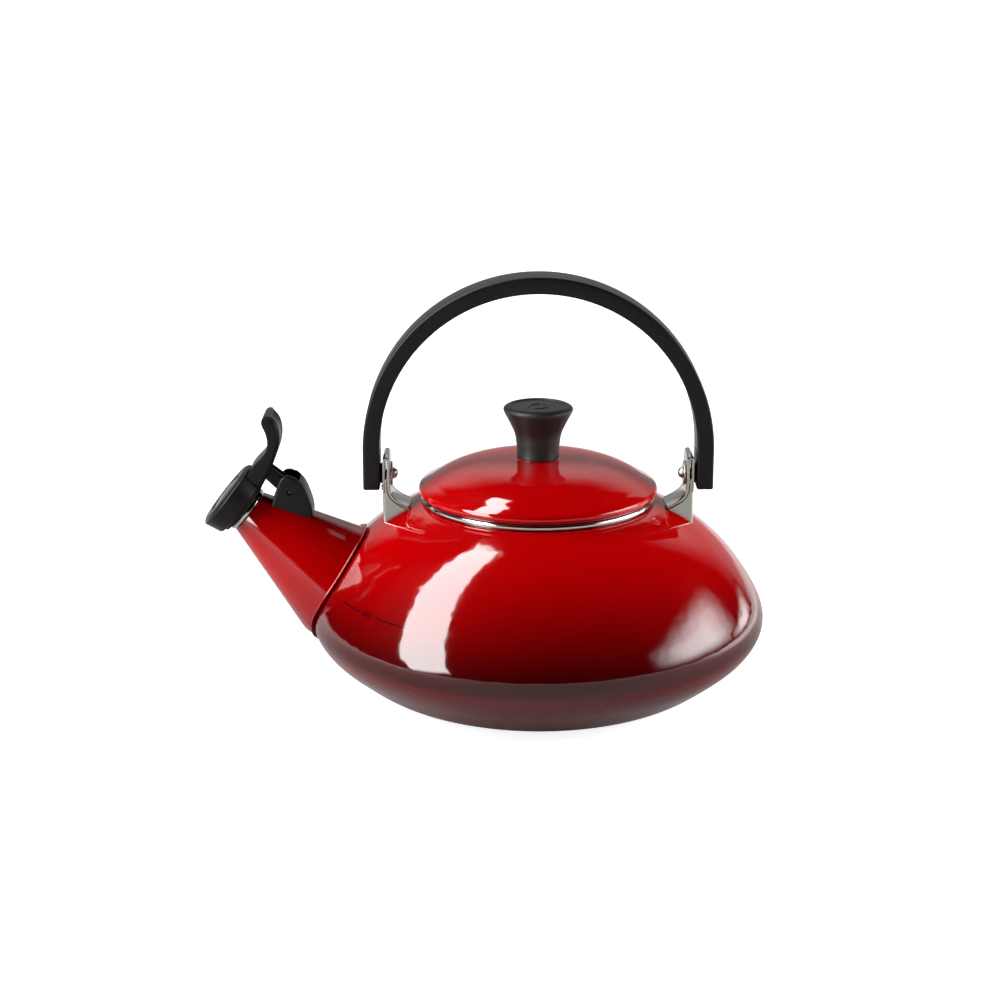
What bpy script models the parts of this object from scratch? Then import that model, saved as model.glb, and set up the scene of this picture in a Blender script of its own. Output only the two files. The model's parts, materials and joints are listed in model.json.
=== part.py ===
"""Stovetop whistling kettle: enamelled steel body, lid, bail handle and hinged whistle.

Metres, +Z up. The origin is on the body's axis at the flat base, the spout points to -X and the
handle turns about an axis parallel to X. Each function below makes one piece of the kettle.
"""

import math

import bmesh
import bpy
from mathutils import Matrix, Vector

MM = 0.001
GAP = 0.3                      # clearance between neighbouring pieces, mm

# Driving dimensions, in millimetres
BODY_RADIUS = 103.3            # at the widest belt
BELT_HEIGHT = 31.5
BASE_RADIUS = 66.0
WALL = 1.6                     # enamelled steel
MOUTH_RADIUS = 54.0            # where the shoulder meets the lid opening
MOUTH_HEIGHT = 85.9
LID_RADIUS = 54.1
LID_EDGE_HEIGHT = 91.6
LID_RISE = 13.7                # from the rolled edge to the crown
LID_FULLNESS = 3.6             # power of the dome curve, 2 is a parabola
BOSS_RADIUS = 9.3              # raised seat of the knob on the lid
BOSS_HEIGHT = 106.3
KNOB_TOP = 130.0
COLLAR_RADIUS = 48.4           # skirt that centres the lid in the opening

SPOUT_TIP = (-131.6, 81.3)     # x, z of the centre of the spout's open end
SPOUT_TILT = 39.0              # degrees above level
SPOUT_FLARE = 17.8             # half angle of the cone, degrees
SPOUT_TIP_RADIUS = 10.4
SPOUT_CONE = 52.0              # length of the straight cone along its axis
SPOUT_HEEL = 12.0              # radius that turns the cone in to the body
SPOUT_WALL = 1.5

PIN = (-112.0, 91.1)           # x, z of the whistle's hinge pin
PIN_RADIUS = 1.0
SADDLE_HALF_WIDTH = 7.5
ARM_HALF_WIDTH = 3.9
LEVER_HALF_WIDTH = 9.0

BAIL_OUTER = 78.7              # handle arch, outer and inner radius
BAIL_INNER = 71.2
BAIL_CENTRE = 110.3            # height of the arch's centre
BAIL_HALF_DEPTH = 9.0
BAIL_FOOT = 92.5
PIVOT_HEIGHT = 98.3
BRACKET_OUTER = 69.9           # outer face of the bracket's upright
BRACKET_INNER = 66.8
BRACKET_TOP = 107.8
BRACKET_HALF_WIDTH = 9.0
SHEET = 1.1                    # bracket sheet


# ---------------------------------------------------------------- outlines

def arc(centre, radius, start, end, count):
    """Points on a circle from one angle to another, degrees anticlockwise from the first axis."""
    steps = (math.radians(start + (end - start) * i / (count - 1)) for i in range(count))
    return [(centre[0] + radius * math.cos(a), centre[1] + radius * math.sin(a)) for a in steps]


def through(points, count=3):
    """A smooth line through the points: a Catmull-Rom curve, with count steps between two points."""
    ends = [points[0]] + list(points) + [points[-1]]
    line = []
    for a, b, c, d in zip(ends, ends[1:], ends[2:], ends[3:]):
        for i in range(count):
            t = i / count
            line.append(tuple(0.5 * (2 * q + (r - p) * t + (2 * p - 5 * q + 4 * r - s) * t ** 2
                                     + (3 * q - p - 3 * r + s) * t ** 3)
                              for p, q, r, s in zip(a, b, c, d)))
    return line + [tuple(points[-1])]


def beside(line, distance):
    """The line moved sideways, to the right of its own direction."""
    moved = []
    for i, point in enumerate(line):
        before = Vector(line[max(i - 1, 0)])
        after = Vector(line[min(i + 1, len(line) - 1)])
        along = (after - before).normalized()
        moved.append((point[0] + along.y * distance, point[1] - along.x * distance))
    return moved


def body_outline(count=2):
    """Outer side of the body from the shoulder's top edge down to the edge of the flat base."""
    belt = (BODY_RADIUS, BELT_HEIGHT)
    base = (BASE_RADIUS, 0.0)
    return through([(MOUTH_RADIUS, MOUTH_HEIGHT), (69.7, 77.3), (85.4, 64.5), (97.6, 48.3),
                    belt, (99.0, 22.0), (88.5, 12.3), (77.6, 4.6), base], count)


def lid_height(radius):
    """Height of the lid's outer face at a radius."""
    return LID_EDGE_HEIGHT + LID_RISE * (1 - (radius / LID_RADIUS) ** LID_FULLNESS)


def spout_outline():
    """Outer side of the spout as (radius, distance along its axis), from the tip to the heel."""
    flare = math.radians(SPOUT_FLARE)
    end = SPOUT_TIP_RADIUS + SPOUT_CONE * math.tan(flare)
    centre = (end - SPOUT_HEEL * math.cos(flare), -SPOUT_CONE - SPOUT_HEEL * math.sin(flare))
    heel = arc(centre, SPOUT_HEEL, SPOUT_FLARE, -60.0, 8)
    return [(SPOUT_TIP_RADIUS, -0.8)] + heel


# ---------------------------------------------------------------- scene helpers

def clear_scene():
    for thing in list(bpy.data.objects):
        bpy.data.objects.remove(thing, do_unlink=True)


def collection(name):
    made = bpy.data.collections.new(name)
    bpy.context.scene.collection.children.link(made)
    return made


def material(name, colour, roughness, metallic=0.0):
    made = bpy.data.materials.new(name)
    made.use_nodes = True
    shader = made.node_tree.nodes["Principled BSDF"]
    shader.inputs["Base Color"].default_value = (*colour, 1.0)
    shader.inputs["Roughness"].default_value = roughness
    shader.inputs["Metallic"].default_value = metallic
    return made


def add(name, mesh, finish, frame=None):
    """Link a mesh as a named piece, standing in its frame."""
    piece = bpy.data.objects.new(name, mesh)
    KETTLE.objects.link(piece)
    if frame:
        piece.matrix_world = frame
    if finish:
        piece.data.materials.append(finish)
    return piece


def as_cutter(tool):
    """Hide a shape that only cuts its neighbours."""
    tool.hide_render = True
    tool.display_type = "WIRE"
    for home in list(tool.users_collection):
        home.objects.unlink(tool)
    CUTTERS.objects.link(tool)
    return tool


def cut(piece, tool):
    step = piece.modifiers.new("cut " + tool.name, "BOOLEAN")
    step.operation = "DIFFERENCE"
    step.object = as_cutter(tool)


def join(piece, tool):
    step = piece.modifiers.new("join " + tool.name, "BOOLEAN")
    step.operation = "UNION"
    step.object = as_cutter(tool)


def round_edges(piece, width, segments=2):
    step = piece.modifiers.new("rounded edges", "BEVEL")
    step.width = width * MM
    step.segments = segments
    step.limit_method = "ANGLE"
    step.angle_limit = math.radians(40)


def smooth(piece):
    piece.data.shade_smooth()


def turned(name, outline, finish, frame=None, steps=32, ring=False):
    """A turned piece: the outline (radius, height) in mm, down its outer side, about local Z."""
    mesh = bpy.data.meshes.new(name)
    count = len(outline)
    edges = [(i, i + 1) for i in range(count - 1)]
    if ring:
        edges.append((count - 1, 0))
    mesh.from_pydata([(r * MM, 0.0, z * MM) for r, z in outline], edges, [])
    piece = add(name, mesh, finish, frame)
    screw = piece.modifiers.new("turn", "SCREW")
    screw.axis = "Z"
    screw.angle = math.tau
    screw.steps = steps
    screw.render_steps = steps
    screw.use_merge_vertices = True
    screw.merge_threshold = 0.00001
    return piece


def flat(name, outline, half_depth, finish, centre=(0.0, 0.0)):
    """A plate with its outline (x, z) in mm from a centre and its thickness along Y, closed."""
    curve = bpy.data.curves.new(name, "CURVE")
    curve.dimensions = "2D"
    curve.fill_mode = "BOTH"
    curve.extrude = half_depth * MM
    spline = curve.splines.new("POLY")
    spline.points.add(len(outline) - 1)
    for point, (x, z) in zip(spline.points, outline):
        point.co = (x * MM, z * MM, 0.0, 1.0)
    spline.use_cyclic_u = True
    upright = (Matrix.Translation((centre[0] * MM, 0.0, centre[1] * MM))
               @ Matrix.Rotation(math.radians(90), 4, "X"))
    return as_mesh(add(name, curve, finish, upright), finish)


def as_mesh(piece, finish):
    """Turn a curve object in to a mesh object with its caps welded on."""
    bpy.context.view_layer.update()
    seen = piece.evaluated_get(bpy.context.evaluated_depsgraph_get())
    mesh = bpy.data.meshes.new_from_object(seen)
    frame = piece.matrix_world.copy()
    name = piece.name
    bpy.data.objects.remove(piece, do_unlink=True)
    mesh.name = name
    welded = bmesh.new()
    welded.from_mesh(mesh)
    bmesh.ops.remove_doubles(welded, verts=welded.verts, dist=0.000005)
    bmesh.ops.recalc_face_normals(welded, faces=welded.faces)
    welded.to_mesh(mesh)
    welded.free()
    mesh.materials.clear()
    return add(name, mesh, finish, frame)


def cylinder(name, radius, start, end, finish=None, sides=16):
    """A round bar from one point to another, in mm."""
    start = Vector(start) * MM
    end = Vector(end) * MM
    along = end - start
    bpy.ops.mesh.primitive_cylinder_add(vertices=sides, radius=radius * MM, depth=along.length)
    piece = bpy.context.object
    piece.name = name
    piece.matrix_world = (Matrix.Translation((start + end) / 2)
                          @ along.to_track_quat("Z", "Y").to_matrix().to_4x4())
    for home in list(piece.users_collection):
        home.objects.unlink(piece)
    KETTLE.objects.link(piece)
    if finish:
        piece.data.materials.append(finish)
    return piece


def mirrored(piece, name):
    """A copy of a finished right-hand piece on the left, with its own mesh."""
    bpy.context.view_layer.update()
    seen = piece.evaluated_get(bpy.context.evaluated_depsgraph_get())
    mesh = bpy.data.meshes.new_from_object(seen)
    mesh.name = name
    mesh.transform(Matrix.Scale(-1, 4, (1, 0, 0)) @ piece.matrix_world)
    mesh.flip_normals()
    return add(name, mesh, None)


# ---------------------------------------------------------------- body and spout

def body_solid(name, growth):
    """The whole outside of the body as one solid, grown by a clearance."""
    outline = [(0.0, MOUTH_HEIGHT + growth)] + beside(body_outline(), -growth) + [(0.0, -growth)]
    return turned(name, outline, None, steps=48)


def spout_solid(name, growth):
    """The outside of the spout as one solid, grown by a clearance."""
    outline = beside(spout_outline(), -growth)
    return turned(name, [(0.0, growth)] + outline + [(0.0, outline[-1][1])], None, SPOUT_FRAME)


def make_body():
    outer = body_outline()
    lip = [(MOUTH_RADIUS - 1.4, MOUTH_HEIGHT + 0.2), (MOUTH_RADIUS - 3.0, MOUTH_HEIGHT + 0.2)]
    inner = beside(body_outline(1), WALL)[1:-1]
    floor = [(0.0, WALL), (BASE_RADIUS - 1.0, WALL)]
    outline = floor + inner[::-1] + lip[::-1] + outer + [(0.0, 0.0)]
    body = turned("body_shell", outline, ENAMEL, steps=48)
    smooth(body)
    hole = cylinder("spout hole", 19.0, at_spout(0.0, -30.0), at_spout(0.0, -76.0), sides=24)
    cut(body, hole)


def make_body_rim():
    outer = MOUTH_RADIUS - 1.1
    inner = COLLAR_RADIUS + 1.2
    top = MOUTH_HEIGHT + 3.3
    foot = MOUTH_HEIGHT + 0.2 + GAP
    outline = [(inner, top), (outer - 0.5, top), (outer, top - 0.5), (outer, foot),
               (inner + 0.9, foot), (inner + 0.9, foot - 4.4), (inner, foot - 4.4)]
    smooth(turned("body_rim_ring", outline, STEEL, steps=48, ring=True))


def make_spout():
    outer = spout_outline()
    inner = beside(outer, SPOUT_WALL)
    spout = turned("spout", outer + inner[::-1], ENAMEL, SPOUT_FRAME, steps=32, ring=True)
    smooth(spout)
    cut(spout, body_solid("body clearance for spout", GAP))


def make_spout_rim():
    outer = SPOUT_TIP_RADIUS + 0.6
    inner = SPOUT_TIP_RADIUS - 2.7
    outline = [(inner, 1.2), (outer - 0.4, 1.2), (outer, 0.8), (outer, -0.5),
               (inner + 0.8, -0.5), (inner + 0.8, -5.0), (inner, -5.0)]
    smooth(turned("spout_rim_ring", outline, STEEL, SPOUT_FRAME, steps=32, ring=True))


# ---------------------------------------------------------------- whistle

def at_spout(out, along, side=0.0):
    """World point in mm: out from the spout's axis (upwards), along it, and to the side."""
    tilt = math.radians(SPOUT_TILT)
    x = SPOUT_TIP[0] - along * math.cos(tilt) + out * math.sin(tilt)
    z = SPOUT_TIP[1] + along * math.sin(tilt) + out * math.cos(tilt)
    return (x, side, z)


def pin_bar(name, radius, reach, sides=16):
    return cylinder(name, radius, (PIN[0], -reach, PIN[1]), (PIN[0], reach, PIN[1]), None, sides)


def make_lug():
    """Steel U-lug welded on the spout, which carries the hinge pin inside the saddle."""
    ear = [(-4.9, -8.1), (5.1, -11.6), (5.3, -4.1)] + arc((0.0, 0.0), 3.0, 20.0, 150.0, 8)
    lug = flat("spout_lug", ear, 5.3, STEEL, PIN)
    inside = [(-7.3, -1.9), (8.7, -7.9), (8.7, 6.9), (-7.3, 6.9)]
    cut(lug, flat("lug channel", inside, 4.3, None, PIN))
    cut(lug, spout_solid("spout clearance for lug", GAP))
    cut(lug, pin_bar("lug pin hole", PIN_RADIUS + 0.3, 8.0))


def make_saddle():
    """Moulded hinge block that straddles the lug, its slot open to the front and the top."""
    back = through([(2.6, 6.7), (5.9, 3.3), (8.6, -2.7), (10.1, -8.5), (9.8, -15.1)], 3)
    front = [(-8.7, -13.1), (-8.7, -7.4), (-6.9, -1.3)]
    top = arc((-0.9, 3.8), 3.9, 165.0, 60.0, 6)
    saddle = flat("hinge_saddle", front + top + back, SADDLE_HALF_WIDTH, PHENOLIC, PIN)
    round_edges(saddle, 0.9, 2)
    slot = [(-10.3, -17.1), (5.7, -17.1)] + through([(6.6, -8.1), (5.5, -3.1), (3.7, 1.1)], 3)
    slot += [(5.1, 8.9), (-10.3, 8.9)]
    cut(saddle, flat("saddle slot", slot, 5.6, None, PIN))
    cut(saddle, spout_solid("spout clearance for saddle", GAP))
    cut(saddle, pin_bar("saddle pin hole", PIN_RADIUS + 0.3, 9.0))


def make_pin():
    pin = pin_bar("hinge_pin", PIN_RADIUS, SADDLE_HALF_WIDTH - 0.3)
    pin.data.materials.append(STEEL)
    round_edges(pin, 0.2, 1)


def make_spring():
    """Torsion spring round the pin, as wound wire with two short legs."""
    turns, per_turn, radius, wire = 3.5, 12, 2.0, 0.35
    count = int(turns * per_turn)
    curve = bpy.data.curves.new("whistle_spring", "CURVE")
    curve.dimensions = "3D"
    curve.bevel_depth = wire * MM
    curve.bevel_resolution = 1
    curve.use_fill_caps = True
    start = math.radians(135.0)
    route = []
    for i in range(count + 1):
        angle = start - math.tau * i / per_turn
        y = -1.45 + 2.9 * i / count
        route.append((PIN[0] + radius * math.cos(angle), y, PIN[1] + radius * math.sin(angle)))
    first, last = Vector(route[0]), Vector(route[-1])
    route.insert(0, first + Vector((-2.6, 0.0, 0.2)))
    route.append(last + Vector((0.6, 0.0, 2.4)))
    spline = curve.splines.new("POLY")
    spline.points.add(len(route) - 1)
    for point, place in zip(spline.points, route):
        point.co = (*(Vector(place) * MM), 1.0)
    smooth(as_mesh(add("whistle_spring", curve, STEEL), STEEL))


def make_whistle_cap():
    outline = [(9.9, 12.8), (15.6, 12.8), (16.6, 12.3), (16.9, 11.3), (15.6, 3.8), (15.1, 3.1),
               (13.5, 3.1), (13.5, 5.2), (11.0, 5.2), (11.0, 10.6), (7.5, 10.6), (7.5, 11.5), (9.9, 11.5)]
    cap = turned("whistle_cap", outline, PHENOLIC, SPOUT_FRAME, steps=32, ring=True)
    smooth(cap)
    cut(cap, cylinder("cap screw hole", 1.3, at_spout(5.0, 8.2), at_spout(20.0, 8.2)))


def make_whistle_plates():
    front = [(1.3, 13.1), (5.5, 12.9), (9.2, 12.5), (9.6, 12.2), (9.6, 11.8), (1.3, 11.8)]
    smooth(turned("whistle_front_plate", front, STEEL, SPOUT_FRAME, steps=32, ring=True))
    back = [(1.3, 6.3), (10.7, 6.3), (10.7, 5.5), (1.3, 5.5)]
    smooth(turned("whistle_back_plate", back, STEEL, SPOUT_FRAME, steps=32, ring=True))


def make_gasket():
    outline = [(8.4, 4.9), (13.2, 4.9), (13.2, 1.9), (12.8, 1.5), (8.4, 1.5)]
    smooth(turned("whistle_gasket", outline, RUBBER, SPOUT_FRAME, steps=32, ring=True))


def make_lever():
    """Thumb lever with the hinge arm that runs back to the pin, moulded in one."""
    back = through([(-7.3, 36.8), (-4.7, 33.5), (-3.4, 28.1), (-3.9, 22.4), (-5.9, 15.9),
                    (-8.9, 8.9), (-12.3, 2.9)], 2)
    front = through([(-18.9, 6.4), (-17.5, 10.1), (-12.9, 15.5), (-9.5, 20.5), (-9.2, 24.9),
                     (-10.3, 29.3), (-11.5, 32.9), (-10.3, 35.9)], 2)
    lever = flat("thumb_lever", back + front, LEVER_HALF_WIDTH, PHENOLIC, PIN)
    round_edges(lever, 1.2, 2)
    arm = [(-11.3, 5.9), (-6.5, 1.3)] + arc((0.0, 0.0), 3.3, 215.0, 420.0, 10)
    arm += [(-3.1, 6.9), (-7.9, 10.5), (-11.3, 11.9)]
    join(lever, flat("hinge arm", arm, ARM_HALF_WIDTH, None, PIN))
    fork = [(-4.9, -6.1), (4.7, -6.1), (4.7, 5.9), (-4.9, 5.9)]
    cut(lever, flat("arm fork", fork, 2.1, None, PIN))
    cap = [(0.0, 13.1), (15.8, 13.1), (17.2, 11.5), (15.9, 3.6), (15.4, 2.8), (0.0, 2.8)]
    cut(lever, turned("cap clearance", cap, None, SPOUT_FRAME))
    cut(lever, pin_bar("arm pin hole", PIN_RADIUS + 0.25, 6.0))
    cut(lever, cylinder("lever screw hole", 1.2, at_spout(14.0, 8.2), at_spout(22.0, 8.2)))


def make_lever_screw():
    screw = cylinder("lever_screw", 1.6, at_spout(9.2, 8.2), at_spout(10.5, 8.2), STEEL)
    join(screw, cylinder("lever screw shank", 0.9, at_spout(10.0, 8.2), at_spout(21.6, 8.2), sides=12))


# ---------------------------------------------------------------- lid and knob

def make_lid():
    bore = 2.8
    skin = 1.2
    dome = [(r, lid_height(r)) for r in (10.6, 20.0, 29.0, 37.0, 44.0, 49.0)]
    under = [(r, lid_height(r) - skin) for r in (48.6, 38.0, 24.0, 10.8)]
    edge = arc((LID_RADIUS - 2.2, LID_EDGE_HEIGHT + 0.5), 2.2, 50.0, -90.0, 5)
    outer = [(bore, BOSS_HEIGHT), (BOSS_RADIUS - 0.4, BOSS_HEIGHT), (BOSS_RADIUS, BOSS_HEIGHT - 0.4),
             (BOSS_RADIUS + 0.1, BOSS_HEIGHT - 1.3)] + dome + edge
    hem = [(LID_RADIUS - 2.9, LID_EDGE_HEIGHT - 1.3)]
    inner = under + [(BOSS_RADIUS - 1.2, BOSS_HEIGHT - 2.6),
                     (BOSS_RADIUS - 1.2, BOSS_HEIGHT - skin), (bore, BOSS_HEIGHT - skin)]
    smooth(turned("lid_shell", outer + hem + inner, ENAMEL, steps=48, ring=True))


def make_collar():
    top = 92.6
    outline = [(COLLAR_RADIUS - 1.0, top), (COLLAR_RADIUS + 0.3, top), (COLLAR_RADIUS, top - 1.0),
               (COLLAR_RADIUS, 81.5), (COLLAR_RADIUS - 0.5, 81.0), (COLLAR_RADIUS - 1.0, 81.5)]
    smooth(turned("lid_collar", outline, STEEL, steps=48, ring=True))


def make_knob():
    """Flared knob with a rounded brim and a blind bore for its threaded insert."""
    foot = BOSS_HEIGHT + GAP
    brim = arc((14.1, KNOB_TOP - 1.7), 1.6, 80.0, -20.0, 5)
    stem = through([(15.0, 126.9), (13.8, 123.9), (12.2, 120.8), (10.7, 117.4), (9.9, 113.6), (9.5, 109.6),
                    (9.3, foot)], 2)
    outline = [(0.0, KNOB_TOP - 0.5), (11.4, KNOB_TOP - 0.5), (12.2, KNOB_TOP - 0.1)] + brim + stem
    outline += [(4.4, foot), (4.4, 119.6), (0.0, 119.6)]
    smooth(turned("lid_knob", outline, PHENOLIC, steps=32))


def make_knob_fastening():
    insert = [(2.8, 119.0), (4.1, 119.0), (4.1, 106.8), (2.8, 106.8)]
    smooth(turned("knob_insert", insert, BRASS, steps=20, ring=True))
    washer = [(2.8, 104.8), (6.5, 104.8), (6.5, 104.0), (2.8, 104.0)]
    smooth(turned("knob_washer", washer, STEEL, steps=24, ring=True))
    screw = [(0.0, 117.0), (2.2, 117.0), (2.45, 116.6), (2.45, 103.7), (4.6, 103.7), (4.4, 102.5),
             (3.4, 101.7), (0.0, 101.4)]
    smooth(turned("knob_screw", screw, STEEL, steps=20))


# ---------------------------------------------------------------- handle and brackets

def at_pivot(x):
    return (x, 0.0, PIVOT_HEIGHT)


def make_handle():
    centre = (0.0, BAIL_CENTRE)
    outer = arc(centre, BAIL_OUTER, 0.0, 180.0, 33)
    inner = arc(centre, BAIL_INNER, 180.0, 0.0, 33)
    feet = [(-BAIL_OUTER, BAIL_FOOT), (-BAIL_INNER, BAIL_FOOT)]
    outline = outer + feet + inner + [(BAIL_INNER, BAIL_FOOT), (BAIL_OUTER, BAIL_FOOT)]
    handle = flat("handle", outline, BAIL_HALF_DEPTH, PHENOLIC)
    round_edges(handle, 1.3, 2)
    for side in (-1, 1):
        start = at_pivot(side * (BAIL_INNER - 2.0))
        end = at_pivot(side * (BAIL_INNER + 5.8))
        cut(handle, cylinder("insert hole", 3.3, start, end))


def make_brackets():
    """Folded steel bracket: a hairpin upright on a boxed foot that follows the shoulder."""
    top = arc(((BRACKET_OUTER + BRACKET_INNER) / 2, BRACKET_TOP - 1.55), 1.55, 0.0, 180.0, 7)
    foot = through([(BRACKET_INNER, 93.5), (66.2, 90.9), (64.4, 88.4), (61.4, 86.2), (57.6, 84.3)], 2)
    outline = [(BRACKET_OUTER, 72.0)] + top + foot + [(57.6, 78.0)]
    bracket = flat("right_bracket", outline, BRACKET_HALF_WIDTH, STEEL)
    low = BRACKET_INNER + SHEET
    high = BRACKET_OUTER - SHEET
    slit = [(low, 92.6), (high, 92.6), (high, BRACKET_TOP - SHEET), (low, BRACKET_TOP - SHEET)]
    cut(bracket, flat("bracket slit", slit, 12.0, None))
    under = through([(low, 94.0), (67.2, 90.5), (65.2, 87.6), (62.0, 85.1), (57.0, 82.6)], 2)
    hollow = [(high, 70.0), (high, 94.0)] + under + [(57.0, 70.0)]
    cut(bracket, flat("bracket hollow", hollow, BRACKET_HALF_WIDTH - SHEET, None))
    cut(bracket, body_solid("body clearance for bracket", GAP))
    cut(bracket, cylinder("bracket screw hole", 2.0, at_pivot(60.0), at_pivot(75.0)))
    mirrored(bracket, "left_bracket")


def make_pivots():
    """Each pivot from the inside out: screw, washer, bracket, spacer and brass insert."""
    for name, side in (("left", -1), ("right", 1)):
        screw_frame = Matrix.Translation((0.0, 0.0, PIVOT_HEIGHT * MM)) @ Matrix.Rotation(
            math.radians(-90 * side), 4, "Y")
        dome = [(0.0, -63.6), (1.3, -63.8), (2.3, -64.5), (2.6, -65.5)]
        screw = dome + [(1.6, -65.5), (1.6, -75.8), (0.0, -76.0)]
        smooth(turned(name + "_pivot_screw", screw, STEEL, screw_frame, steps=16))
        washer = [(1.9, -65.75), (5.3, -65.75), (5.5, -66.0), (5.5, -66.5), (1.9, -66.5)]
        smooth(turned(name + "_pivot_washer", washer, STEEL, screw_frame, steps=24, ring=True))
        spacer = [(1.9, -70.15), (4.6, -70.15), (4.6, -70.95), (1.9, -70.95)]
        smooth(turned(name + "_spacer", spacer, NYLON, screw_frame, steps=24, ring=True))
        insert = [(1.9, -71.5), (3.0, -71.5), (3.0, -76.6), (1.9, -76.6)]
        smooth(turned(name + "_handle_insert", insert, BRASS, screw_frame, steps=16, ring=True))
        stud_height = PIVOT_HEIGHT - 6.6
        stud = cylinder(name + "_detent_stud", 1.5, (side * (BRACKET_OUTER + 0.25), 0.0, stud_height),
                        (side * (BAIL_INNER - 0.3), 0.0, stud_height), STEEL)
        round_edges(stud, 0.25, 1)


clear_scene()
KETTLE = collection("whistling kettle")
CUTTERS = collection("cutters")
SPOUT_FRAME = (Matrix.Translation((SPOUT_TIP[0] * MM, 0.0, SPOUT_TIP[1] * MM))
               @ Matrix.Rotation(math.radians(SPOUT_TILT - 90), 4, "Y"))

ENAMEL = material("red enamel", (0.52, 0.003, 0.006), 0.12)
PHENOLIC = material("black phenolic", (0.012, 0.011, 0.011), 0.45)
STEEL = material("stainless steel", (0.62, 0.60, 0.57), 0.25, 1.0)
BRASS = material("brass", (0.70, 0.52, 0.22), 0.3, 1.0)
RUBBER = material("silicone", (0.015, 0.015, 0.015), 0.7)
NYLON = material("black nylon", (0.02, 0.02, 0.02), 0.5)

make_body()
make_body_rim()
make_spout()
make_spout_rim()
make_lug()
make_saddle()
make_pin()
make_spring()
make_whistle_cap()
make_whistle_plates()
make_gasket()
make_lever()
make_lever_screw()
make_lid()
make_collar()
make_knob()
make_knob_fastening()
make_handle()
make_brackets()
make_pivots()
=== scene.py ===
# %% [markdown]
# # A stovetop whistling kettle
#
# This lesson dresses a packed kettle model for a picture: a low red enamelled body with a conical
# spout, a lid with a black knob, an arched black handle on two folded steel brackets, and a hinged
# whistle with a thumb lever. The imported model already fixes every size, place and joint. Here each
# piece that shows is modelled again by hand with a finer surface, and given its finish.

# %% Load the frame
import json
import math

import bmesh
import bpy
from mathutils import Matrix, Vector


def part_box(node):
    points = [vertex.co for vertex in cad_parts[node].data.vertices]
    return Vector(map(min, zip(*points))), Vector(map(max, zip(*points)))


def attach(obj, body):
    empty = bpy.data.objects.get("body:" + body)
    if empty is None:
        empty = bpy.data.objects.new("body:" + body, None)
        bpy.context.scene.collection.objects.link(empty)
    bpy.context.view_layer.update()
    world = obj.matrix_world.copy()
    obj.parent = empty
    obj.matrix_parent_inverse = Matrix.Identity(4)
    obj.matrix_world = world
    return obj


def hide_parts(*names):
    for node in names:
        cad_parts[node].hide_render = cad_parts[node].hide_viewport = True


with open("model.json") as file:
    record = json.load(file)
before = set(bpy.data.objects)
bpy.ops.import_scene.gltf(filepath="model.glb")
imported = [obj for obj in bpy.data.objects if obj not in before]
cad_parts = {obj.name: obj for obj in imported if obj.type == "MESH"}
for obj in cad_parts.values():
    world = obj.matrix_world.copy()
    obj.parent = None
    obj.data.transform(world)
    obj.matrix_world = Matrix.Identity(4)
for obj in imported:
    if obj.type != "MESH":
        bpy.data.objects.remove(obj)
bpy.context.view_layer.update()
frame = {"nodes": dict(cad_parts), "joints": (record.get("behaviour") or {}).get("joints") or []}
MM = 0.001

# %% [markdown]
# ## Measures taken from the frame
#
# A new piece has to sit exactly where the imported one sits. So the main sizes are read from the
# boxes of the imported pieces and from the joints, and not typed in again. All the lengths in this
# lesson are in millimetres, and MM turns them into metres at the last moment.

# %% Driving measures
def reach(node, side, axis):
    """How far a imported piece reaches, in mm: side 0 is its lowest corner and side 1 its highest."""
    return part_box(node)[side][axis] / MM


JOINTS = {joint["name"]: joint for joint in frame["joints"]}
BELT_RADIUS = reach("body_shell", 1, 0)
MOUTH_TOP = reach("body_shell", 1, 2)
LID_EDGE = reach("lid_shell", 1, 0)
LID_TOP = reach("lid_shell", 1, 2)
KNOB_TOP = reach("lid_knob", 1, 2)
BAIL_OUTER = reach("handle", 1, 0)
BAIL_TOP = reach("handle", 1, 2)
BAIL_FOOT = reach("handle", 0, 2)
BAIL_HALF_DEPTH = reach("handle", 1, 1)
PIVOT_HEIGHT = JOINTS["handle_fold"]["pos_m"][2] / MM
PIN_X = JOINTS["whistle_hinge"]["pos_m"][0] / MM
PIN_Z = JOINTS["whistle_hinge"]["pos_m"][2] / MM
print("belt radius", round(BELT_RADIUS, 1), "mouth", round(MOUTH_TOP, 1), "pivot", PIVOT_HEIGHT)

# %% [markdown]
# The spout leans, so its pieces are turned upright about their own axis first, and then set down
# on the leaning axis. That axis runs through the middle of the whistle's back plate, a plain disc.

# %% The spout's own frame
SPOUT_TILT = math.radians(39)
DISC_AHEAD = 5.9  # the disc's middle, measured along the axis from the spout's tip
disc_low, disc_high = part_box("whistle_back_plate")
SPOUT_AXIS = Vector((-math.cos(SPOUT_TILT), 0, math.sin(SPOUT_TILT)))
SPOUT_TIP = (disc_low + disc_high) / 2 / MM - DISC_AHEAD * SPOUT_AXIS
SPOUT_FRAME = Matrix.Translation(SPOUT_TIP * MM) @ Matrix.Rotation(SPOUT_TILT - math.pi / 2, 4, "Y")
print("spout tip:", [round(value, 1) for value in SPOUT_TIP])

# %% [markdown]
# ## Helpers for working by hand
#
# An operator changes whatever is selected, so each step first clears the selection. One helper
# draws a line of points by extruding a single vertex from place to place, which is how an outline
# is drawn by hand. Corners are rounded while the outline is still a list of points.

# %% Selection helpers
def deselect():
    """Leave edit mode and select nothing."""
    if bpy.context.object and bpy.context.object.mode != "OBJECT":
        bpy.ops.object.mode_set(mode="OBJECT")
    bpy.ops.object.select_all(action="DESELECT")


def choose(piece):
    """Select one piece alone and make it the active one."""
    deselect()
    piece.select_set(True)
    bpy.context.view_layer.objects.active = piece


def enter(piece):
    """Open one piece in edit mode with nothing selected in it."""
    choose(piece)
    bpy.ops.object.mode_set(mode="EDIT")
    bpy.ops.mesh.select_all(action="DESELECT")


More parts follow.
